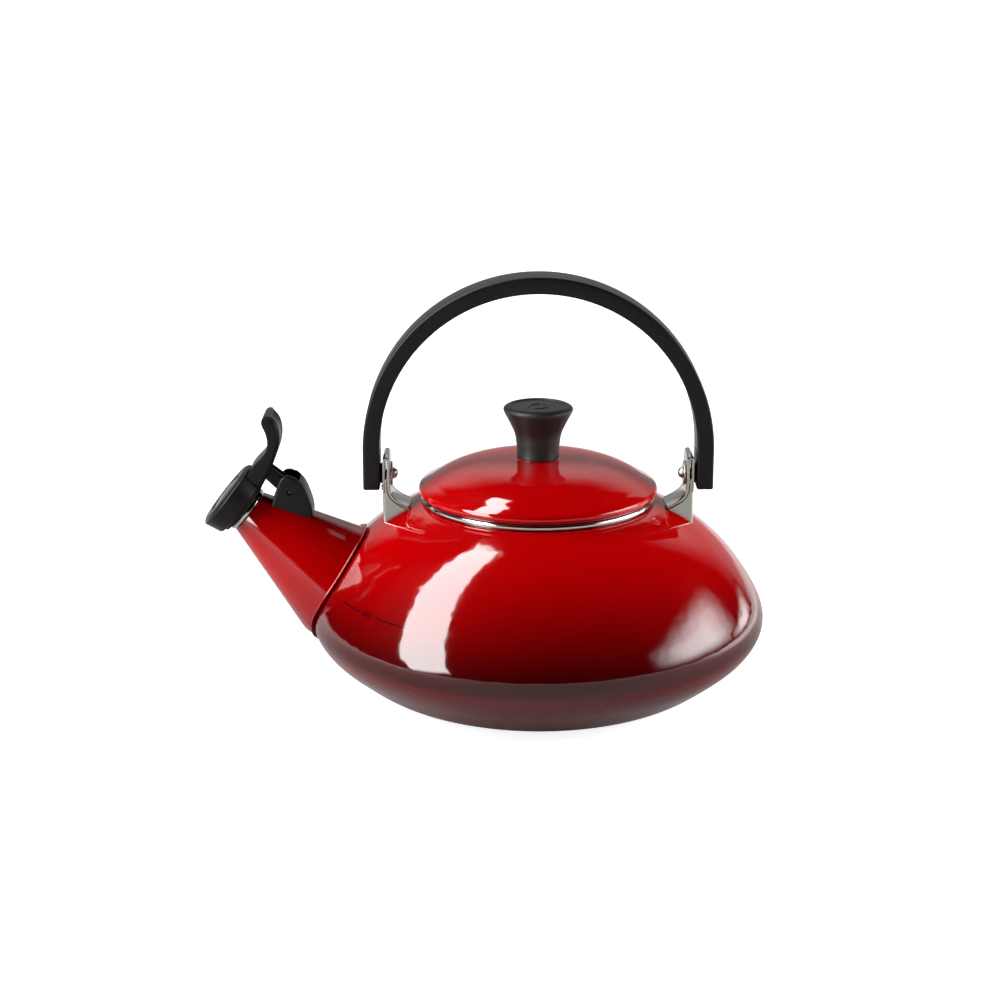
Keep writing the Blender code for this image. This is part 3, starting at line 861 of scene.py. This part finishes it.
deselect()
leg_x = (BAIL_OUTER - BAIL_THICKNESS / 2) * MM
bpy.ops.mesh.primitive_plane_add(size=1, location=(leg_x, 0, BAIL_FOOT * MM))
handle = bpy.context.object
handle.name = "handle_arch"
handle.scale = (BAIL_THICKNESS * MM, 2 * BAIL_HALF_DEPTH * MM, 1)
settle()
enter(handle)
bpy.ops.mesh.select_mode(type="VERT")
bpy.ops.mesh.select_all(action="SELECT")
bpy.ops.mesh.bevel(offset=1.1 * MM, segments=5, affect="VERTICES")
bpy.ops.mesh.select_mode(type="FACE")
bpy.ops.mesh.select_all(action="SELECT")
leg_step = (BAIL_CENTRE - BAIL_FOOT) / LEG_RINGS * MM
for ring in range(LEG_RINGS):
    extrude((0, 0, leg_step))
bpy.ops.mesh.spin(steps=84, angle=math.pi, center=(0, 0, BAIL_CENTRE * MM), axis=(0, 1, 0))
for ring in range(LEG_RINGS):
    extrude((0, 0, -leg_step))
close_up()

# %% [markdown]
# The two flat feet get a rounded edge: the end faces are found by their downward normal, their
# outlines are selected, and the bevel runs round them. Then a hole is drilled for each insert.

# %% Feet and insert holes
enter(handle)
pick(handle, "FACE", lambda face: face.normal.z < -0.9
     and face.calc_center_median().z < (BAIL_FOOT + 0.1) * MM)
bpy.ops.mesh.region_to_loop()
bpy.ops.mesh.bevel(offset=0.9 * MM, segments=3)
deselect()
for side in (-1, 1):
    start = (side * (BAIL_OUTER - BAIL_THICKNESS - 2), 0, PIVOT_HEIGHT)
    end = (side * (BAIL_OUTER - BAIL_THICKNESS + INSERT_DEPTH), 0, PIVOT_HEIGHT)
    combine(handle, rod("insert hole", INSERT_RADIUS, start, end))
fit(handle, "handle_arch", "black_phenolic", phenolic, "handle")

# %% [markdown]
# ## Brackets
#
# Each bracket is one steel sheet folded twice. A hairpin strip stands upright, and its inner leg
# sweeps down to the shoulder. The outer leg is folded round into two gussets that close the sides.
# The strip is drawn as a line with a thickness and extruded to its width. The gussets are a solid
# foot with rounded folds, hollowed from inside. Both are trimmed by the body they stand on.

# %% Bracket
SHEET = 1.1
FOLD_GAP = 0.35
LEG_OUT = reach("right_bracket", 1, 0)
LEG_IN = LEG_OUT - 3.1
BRACKET_TOP = reach("right_bracket", 1, 2)
BRACKET_HALF_WIDTH = reach("right_bracket", 1, 1)
SLIT_FOOT = 92.6
BEND_RADIUS = 1.55  # of the hairpin's outer face
GUSSET_TOP = 97.5
HIDDEN_FOOT = 72.0  # well below the shoulder, where the body trims it off

sweep = flowing([(LEG_IN, 95.0), (LEG_IN - 0.6, 90.9), (LEG_IN - 2.4, 88.4), (LEG_IN - 5.4, 86.2),
                 (LEG_IN - 9.2, 84.3)], 5)
bend_centre = ((LEG_OUT + LEG_IN) / 2, BRACKET_TOP - BEND_RADIUS)
outer_side = [(LEG_OUT, SLIT_FOOT - 1.2)] + arc(bend_centre, BEND_RADIUS, 0, 180, 13) + sweep
inner_side = [(LEG_OUT - SHEET, SLIT_FOOT - 1.2)] + arc(bend_centre, BEND_RADIUS - SHEET, 0, 180, 9)
inner_side += beside(sweep, -SHEET)
strip = plate("right_bracket_steel", outer_side + inner_side[::-1], BRACKET_HALF_WIDTH)
soften(strip, 0.22, 2)

gusset = [(LEG_OUT, HIDDEN_FOOT), (LEG_OUT, GUSSET_TOP), (LEG_IN + SHEET + FOLD_GAP, GUSSET_TOP)]
gusset += beside(sweep, -SHEET - FOLD_GAP) + [(LEG_IN - 9.0, HIDDEN_FOOT)]
fold = plate("folded foot", gusset, BRACKET_HALF_WIDTH)
enter(fold)
pick(fold, "EDGE", lambda edge: all(vert.co.x > (LEG_OUT - 0.05) * MM for vert in edge.verts)
     and abs(edge.verts[0].co.z - edge.verts[1].co.z) > 5 * MM)
bpy.ops.mesh.bevel(offset=1.3 * MM, segments=5)
deselect()
room = [(LEG_OUT - SHEET, 60.0), (LEG_OUT - SHEET, 96.0), (50.0, 96.0), (50.0, 60.0)]
combine(fold, plate("hollow", room, BRACKET_HALF_WIDTH - SHEET))
combine(strip, fold, "UNION")
combine(strip, body_solid("shoulder", 0.05))
combine(strip, rod("screw hole", 2.0, (60, 0, PIVOT_HEIGHT), (75, 0, PIVOT_HEIGHT), 48))


def mirrored(piece, name):
    """A mirror-image copy with its own mesh, its faces turned outwards again."""
    choose(piece)
    bpy.ops.object.duplicate(linked=False)
    copy = bpy.context.object
    copy.name = name
    copy.scale.x = -1
    bpy.ops.object.transform_apply(location=False, rotation=False, scale=True)
    enter(copy)
    close_up()
    return copy


left_strip = mirrored(strip, "left_bracket_steel")
fit(strip, "kettle", "bracket_steel", brushed_steel, "right_bracket", angle=30)
fit(left_strip, "kettle", "bracket_steel", brushed_steel, "left_bracket", angle=30)

# %% [markdown]
# ## Pivots
#
# On each side a domed screw goes through a washer, the bracket and a black spacer in to the
# handle's brass insert. A small stud under it clicks in to the handle. All are turned about X.

# %% Screws, washers, spacers and studs
SCREW_BORE = 1.9  # radius of the hole in washers and spacers
CROSS_BLADE = (3.0, 0.62, 1.8)
STUD_DROP = 6.6  # from the pivot down to the stud


def pivot_frame(side, height=PIVOT_HEIGHT):
    """Turned pieces lie along X here: their own height runs from the outside in."""
    return Matrix.Translation((0, 0, height * MM)) @ Matrix.Rotation(math.radians(-90 * side), 4, "Y")


for word, side in (("left", -1), ("right", 1)):
    where = pivot_frame(side)
    head = flowing([(0, -63.3), (0.9, -63.4), (1.7, -63.8), (2.3, -64.5), (2.6, -65.3)], 3)
    shank = [(2.5, -65.6), (1.6, -65.6), (1.6, -75.8), (0, -76)]
    screw = turned(word + "_screw", head + shank, sides=48)
    for turn in (0, 90):
        deselect()
        bpy.ops.mesh.primitive_cube_add(size=MM, location=(0, 0, -63.4 * MM),
                                        rotation=(0, 0, math.radians(turn)))
        blade = bpy.context.object
        blade.scale = CROSS_BLADE
        settle()
        combine(screw, blade)
    place(screw, where)
    fit(screw, "handle_arch", "fastener_steel", tumbled_steel, word + "_pivot_screw")
    washer = hoop(word + "_washer", [(SCREW_BORE, -65.7), (5.5, -65.7, 0.35), (5.5, -66.5, 0.2),
                                     (SCREW_BORE, -66.5)], 3, 64, where)
    fit(washer, "handle_arch", "fastener_steel", tumbled_steel, word + "_pivot_washer")
    spacer = hoop(word + "_black_spacer", [(SCREW_BORE, -70.05), (4.6, -70.05, 0.2),
                                           (4.6, -71.05, 0.2), (SCREW_BORE, -71.05)], 3, 64, where)
    fit(spacer, "handle_arch", "black_moulding", nylon, word + "_spacer")
    button = [(0, -69.6), (1.5, -69.6)] + arc((0.7, -70.1), 0.8, 0, -80, 7) + [(0, -70.95)]
    below = pivot_frame(side, PIVOT_HEIGHT - STUD_DROP)
    stud = turned(word + "_stud", button, sides=40, where=below)
    fit(stud, "kettle", "bracket_steel", brushed_steel, word + "_detent_stud")

# %% [markdown]
# ## Whistle
#
# The cap closes the spout. It is a black cup with a chamfered rim, a steel front plate with a
# small hole, a second plate behind it and a soft seal that sits on the spout's ring. Air is driven
# through both holes, and that makes the tone.

# %% Cap, front plate and seal
LEVER_SCREW = 8.2  # how far along the spout's axis the lever's screw goes in
cap = hoop("whistle_cup", [
    (9.9, 12.8, 0.35), (14.6, 12.9, 0.5), (16.9, 11.6, 0.7), (15.6, 3.8, 0.5), (15.0, 3.1, 0.4),
    (13.5, 3.1, 0.3), (13.5, 5.2), (11.0, 5.2), (11.0, 10.6), (7.5, 10.6, 0.2), (7.5, 11.5, 0.2),
    (9.9, 11.5)], 5, 128, SPOUT_FRAME)
combine(cap, rod("cap screw hole", 1.3, at_spout(5, LEVER_SCREW), at_spout(20, LEVER_SCREW)))
fit(cap, "whistle", "black_moulding", moulding, "whistle_cap")

front = hoop("whistle_front", [
    (1.3, 12.6, 0.2), (1.5, 13.15, 0.3), (5.5, 12.95, 2.0), (8.6, 12.45, 1.2), (9.6, 12.0, 0.3),
    (9.6, 11.8, 0.1), (1.3, 11.8)], 5, 96, SPOUT_FRAME)
fit(front, "whistle", "whistle_steel", whistle_metal, "whistle_front_plate")

seal = hoop("whistle_seal", [
    (8.4, 4.9), (13.2, 4.9, 0.3), (13.2, 1.5, 0.9), (10.9, 1.75, 0.4), (8.4, 1.5, 0.5)],
    5, 96, SPOUT_FRAME)
fit(seal, "whistle", "black_silicone", rubber, "whistle_gasket")

# %% [markdown]
# The thumb lever is one moulding: an S-shaped pad that stands up from the cap, and an arm that runs
# back to the hinge pin. The pad is a thick plate. Its rear edges are rounded more than its front
# ones, and its thumb side is inset a little, so the moulding has the raised border of the real one.

# %% Thumb lever
PIN = (PIN_X, PIN_Z)
LEVER_HALF_WIDTH = reach("thumb_lever", 1, 1)
lever_back = flowing([(-7.6, 35.6), (-5.2, 32.9), (-3.6, 28.1), (-3.9, 22.4), (-5.9, 15.9), (-8.9, 8.9),
                      (-12.3, 2.9)], 5)
lever_front = flowing([(-18.9, 6.4), (-17.5, 10.1), (-12.9, 15.5), (-9.5, 20.5), (-9.2, 24.9),
                       (-10.4, 29.3), (-11.5, 32.2), (-11.2, 34.3), (-9.6, 35.7), (-7.6, 35.6)], 5)[:-1]
lever = plate("lever", lever_back + lever_front, LEVER_HALF_WIDTH, PIN)
back_places = [Vector((x + PIN_X, z + PIN_Z)) * MM for x, z in lever_back]


def on_back(vert):
    """True for a vertex on the lever's thumb side."""
    return any((Vector((vert.co.x, vert.co.z)) - spot).length < 0.00002 for spot in back_places)


enter(lever)
pick(lever, "EDGE", lambda edge: abs(edge.verts[0].co.y - edge.verts[1].co.y) < 0.0001
     and all(map(on_back, edge.verts)))
bpy.ops.mesh.bevel(offset=2.2 * MM, segments=5)
deselect()
soften(lever, 1.1, 4, 50)
enter(lever)
pick(lever, "FACE", lambda face: abs(face.normal.y) < 0.05 and face.normal.x > 0.25
     and face.calc_center_median().z > (PIN_Z + 19) * MM
     and abs(face.calc_center_median().y) < 0.1 * MM)
bpy.ops.mesh.inset(thickness=1.1 * MM, depth=-0.45 * MM)
deselect()

arm = plate("arm", rounded([(-11.3, 5.9), (-6.5, 1.3)] + arc((0, 0), 3.3, 215, 420, 26)
                           + [(-3.1, 6.9), (-7.9, 10.5), (-11.3, 11.9)], 1), 3.9, PIN)
soften(arm, 0.45, 3, 50)
combine(arm, plate("groove", [(-9.5, 9.8), (-4.6, 6.5), (-1.2, 4.2), (0.4, 9.0), (-8.0, 16.0)], 2.3, PIN))
combine(lever, arm, "UNION")
combine(lever, plate("fork", [(-4.9, -6.1), (4.7, -6.1), (4.7, 5.9), (-4.9, 5.9)], 2.1, PIN))
cap_room = turned("cap room", [(0, 13.1), (15.8, 13.1), (17.2, 11.5), (15.9, 3.6), (15.4, 2.8), (0, 2.8)],
                  sides=96, where=SPOUT_FRAME)
combine(lever, cap_room)
combine(lever, rod("arm pin hole", 1.25, (PIN_X, -6, PIN_Z), (PIN_X, 6, PIN_Z)))
combine(lever, rod("lever screw hole", 1.2, at_spout(14, LEVER_SCREW), at_spout(22, LEVER_SCREW)))
fit(lever, "whistle", "black_moulding", moulding, "thumb_lever", angle=32)

# %% [markdown]
# The hinge saddle is a block with rounded cheeks that straddles the spout. It is open at the front
# and the top, where the arm comes in, and it is trimmed to the cone it sits on.

# %% Hinge saddle and pin
SADDLE_HALF_WIDTH = reach("hinge_saddle", 1, 1)
SADDLE_GAP = 0.12
saddle_back = flowing([(2.6, 6.7), (5.9, 3.3), (8.6, -2.7), (10.1, -8.5), (9.8, -15.1)], 6)
saddle_front = [(-8.7, -13.1), (-8.7, -7.4), (-6.9, -1.3)]
saddle_line = saddle_front + arc((-0.9, 3.8), 3.9, 165, 60, 12) + saddle_back
saddle = plate("saddle", saddle_line, SADDLE_HALF_WIDTH, PIN)
soften(saddle, 1.1, 4, 50)
slot_back = flowing([(6.6, -8.1), (5.5, -3.1), (3.7, 1.1)], 5)
slot_line = [(-10.3, -17.1), (5.7, -17.1)] + slot_back + [(5.1, 8.9), (-10.3, 8.9)]
combine(saddle, plate("slot", slot_line, 5.6, PIN))
combine(saddle, spout_solid("spout room", SADDLE_GAP))
combine(saddle, rod("saddle pin hole", 1.3, (PIN_X, -9, PIN_Z), (PIN_X, 9, PIN_Z), 48))
fit(saddle, "kettle", "black_moulding", moulding, "hinge_saddle", angle=32)

pin_frame = Matrix.Translation((PIN_X * MM, 0, PIN_Z * MM)) @ Matrix.Rotation(math.radians(90), 4, "X")
half = SADDLE_HALF_WIDTH - 1.0
pin_line = rounded([(0, -half), (1.0, -half, 0.3), (1.0, half, 0.3), (0, half)], 4)
pin = turned("steel_pin", pin_line, sides=40, where=pin_frame)
# The pin's dark steel is painted shade: it sits deep in the saddle's hole.
fit(pin, "kettle", "fastener_steel", dark_steel, "hinge_pin")

# %% [markdown]
# The spring that shuts the whistle is wound wire, so it is a curve with a round bevel: the turns
# come from a loop, and its two legs are bent out at the ends. The curve is made a mesh and its end
# caps are merged on.

# %% Spring
COIL_RADIUS = 2.0
COIL_LENGTH = 2.9
COIL_STEPS = 84
STEPS_A_TURN = 24
WIRE_RADIUS = 0.35

deselect()
bpy.ops.curve.primitive_nurbs_path_add()
coil = bpy.context.object
coil.name = "wound_spring"
route = []
for i in range(COIL_STEPS + 1):
    turn = math.radians(135) - math.tau * i / STEPS_A_TURN
    across = -COIL_LENGTH / 2 + COIL_LENGTH * i / COIL_STEPS
    route.append((PIN_X + COIL_RADIUS * math.cos(turn), across, PIN_Z + COIL_RADIUS * math.sin(turn)))
route.insert(0, (route[0][0] - 2.6, route[0][1], route[0][2] + 0.2))
route.append((route[-1][0] + 0.6, route[-1][1], route[-1][2] + 2.4))
coil.data.splines.clear()
wire = coil.data.splines.new("POLY")
wire.points.add(len(route) - 1)
for point, spot in zip(wire.points, route):
    point.co = (*(Vector(spot) * MM), 1)
coil.data.bevel_depth = WIRE_RADIUS * MM
coil.data.bevel_resolution = 3
coil.data.use_fill_caps = True
bpy.ops.object.convert(target="MESH")
coil = bpy.context.object
enter(coil)
close_up()
fit(coil, "whistle", "fastener_steel", dark_steel, "whistle_spring")

# %% [markdown]
# ## Pieces kept from the frame
#
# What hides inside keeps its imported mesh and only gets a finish: inserts, the knob's screw and
# washer, the lever's screw, the pin's lug and the second whistle plate.

# %% Finishes on kept nodes
KEPT = {"knob_insert": brass, "left_handle_insert": brass, "right_handle_insert": brass,
        "knob_washer": tumbled_steel, "knob_screw": tumbled_steel, "lever_screw": tumbled_steel,
        "spout_lug": dark_steel, "whistle_back_plate": whistle_metal}
for node, finish in KEPT.items():
    kept = frame["nodes"][node]
    kept.data.materials.clear()
    kept.data.materials.append(finish)
print("kept from the frame:", sorted(KEPT))

# %% [markdown]
# ## Studio
#
# A gloss coat shows its surroundings, so the studio is built from what each part should reflect:
# a pale floor, and a white backdrop that stops well below the ceiling and leaves the front dark.
# The floor glows a little of itself, like a light table, and more so further out, so that it
# runs in to the background with no edge and keeps only a light contact shadow. A brighter pool on
# its right side is seen only in the gloss of the belt. To the camera the surroundings are white.

# %% Floor and surroundings
deselect()
bpy.ops.mesh.primitive_plane_add(size=8)
floor = bpy.context.object
floor.name = "studio_floor"
FLOOR_GLOW = 5.0  # the strongest glow the floor can give
BLACK = (0, 0, 0, 1)
WHITE = (1, 1, 1, 1)
table = Finish("pale floor", Roughness=0.9, Specular_IOR_Level=0.2)
x, y, z = table.axes()
out = x * x + y * y
away = out.rise(0.04, 0.5)
tone = table.mix(table.noise(3, 2), (0.40, 0.40, 0.40, 1), (0.44, 0.44, 0.44, 1))
straight = Amount(table, table.node("ShaderNodeLightPath", {}, {}).outputs["Is Camera Ray"])
pool = out.rise(0.045, 0.20) * x.rise(0.10, 0.35) * between(y, (-0.20, 0.10), (0.10, 0.45))
# Near the kettle the glow is lower, a little to the camera and down to nothing for other rays: a painted
# shadow under the kettle, seen most in the gloss of its underside.
share = straight * (0.85 + away * 0.2) + (1 - straight) * (away * 0.5 + pool * 2.5)
glow = table.mix(share / FLOOR_GLOW, BLACK, WHITE)
floor.data.materials.append(table.set(Base_Color=tone, Emission_Color=glow,
                                      Emission_Strength=FLOOR_GLOW))

world = bpy.data.worlds.new("studio surroundings")
bpy.context.scene.world = world
world.use_nodes = True
world.node_tree.nodes.clear()


class Surroundings(Finish):
    """The same helpers, on the world's own node tree."""

    def __init__(self, tree):
        self.tree = tree
        self.place = self.node("ShaderNodeTexCoord", {}, {}).outputs["Generated"]


studio = Surroundings(world.node_tree)
east, north, up = studio.axes()
round_from_north = east.maths("ARCTAN2", east, north)
backdrop = between(round_from_north, (-0.62, -0.44), (0.55, 0.85))
backdrop = backdrop * (up.rise(0.25, 0.45) * 0.4 + 0.40) * (1 - up.rise(0.54, 0.76))
seen = Amount(studio, studio.node("ShaderNodeLightPath", {}, {}).outputs["Is Camera Ray"])
level = backdrop * (1 - seen) + seen
light = studio.node("ShaderNodeBackground", {}, {"Color": WHITE, "Strength": level})
studio.node("ShaderNodeOutputWorld", {}, {"Surface": light.outputs[0]})
bpy.context.scene.view_settings.view_transform = "Standard"

# %% [markdown]
# The softboxes are glowing cards. A card's size and place decide the shape of the bright patch that
# it leaves on the enamel, and its edges can be as soft as wanted, which an area light's cannot.
# Some cards show only in the gloss and some light only the colour, so that the patches and the
# depth of the red are set apart. No card is seen itself or casts a shadow.

# %% Softboxes
def softbox(name, low, high, width, strength, edge, glossy=True, diffuse=True):
    """A glowing card from a low to a high place in metres. It faces the kettle; its edges fade."""
    low, high = Vector(low), Vector(high)
    middle = (low + high) / 2
    rise = (high - low).normalized()
    facing = (Vector((0, 0, 0.06)) - middle).normalized()
    across = rise.cross(facing).normalized()
    facing = across.cross(rise)
    deselect()
    bpy.ops.mesh.primitive_plane_add(size=1)
    card = bpy.context.object
    card.name = name
    card.matrix_world = Matrix.Translation(middle) @ Matrix((across, rise, facing)).transposed().to_4x4()
    card.scale = (width, (high - low).length, 1)
    cloth = Finish(name + " cloth", Base_Color=BLACK, Roughness=1.0, Specular_IOR_Level=0.0)
    x, y, z = cloth.axes()
    fade = (0.5 - abs(x)).rise(0, edge) * (0.5 - abs(y)).rise(0, edge)
    card.data.materials.append(cloth.set(Emission_Color=cloth.mix(fade, BLACK, WHITE),
                                         Emission_Strength=strength))
    card.visible_camera = False
    card.visible_shadow = False
    card.visible_glossy = glossy
    card.visible_diffuse = diffuse


softbox("left softbox", (-0.95, -0.79, 0.03), (-0.66, 0.90, 2.70), 0.47, 17, 0.05, diffuse=False)
softbox("left fill", (-1.10, -0.45, 0.03), (-1.00, 0.40, 1.60), 0.70, 13.5, 0.05, glossy=False)
softbox("right softbox", (1.20, -0.10, 0.01), (1.20, -0.10, 0.80), 1.5, 11, 0.42)
softbox("right fill", (1.25, 0.25, 0.05), (1.25, 0.25, 0.95), 0.9, 14, 0.10, glossy=False)
softbox("low back softbox", (1.02, 0.62, 0.01), (1.02, 0.62, 0.20), 0.66, 6, 0.45)

# %% [markdown]
# ## Camera
#
# A long lens from about a metre away, a little above the lid, so that the ellipses of lid and
# mouth stay shallow.

# %% Camera
CAMERA_TARGET = Vector((0, 0, 0.046))
CAMERA_RISE = math.radians(18.5)
CAMERA_DISTANCE = 0.966
CAMERA_TURN = math.radians(-1.5)
CAMERA_TILT = math.radians(90 - 16.26)
CAMERA_PAN = math.radians(-0.427)
level_run = math.cos(CAMERA_RISE)
back_off = Vector((math.sin(CAMERA_TURN) * level_run, -math.cos(CAMERA_TURN) * level_run,
                   math.sin(CAMERA_RISE)))
bpy.ops.object.camera_add(location=CAMERA_TARGET + back_off * CAMERA_DISTANCE)
camera = bpy.context.object
camera.data.lens = 75.6
camera.data.sensor_width = 36
camera.rotation_euler = (CAMERA_TILT, 0, CAMERA_PAN)
bpy.context.scene.camera = camera
print("camera at", [round(value, 3) for value in camera.location])
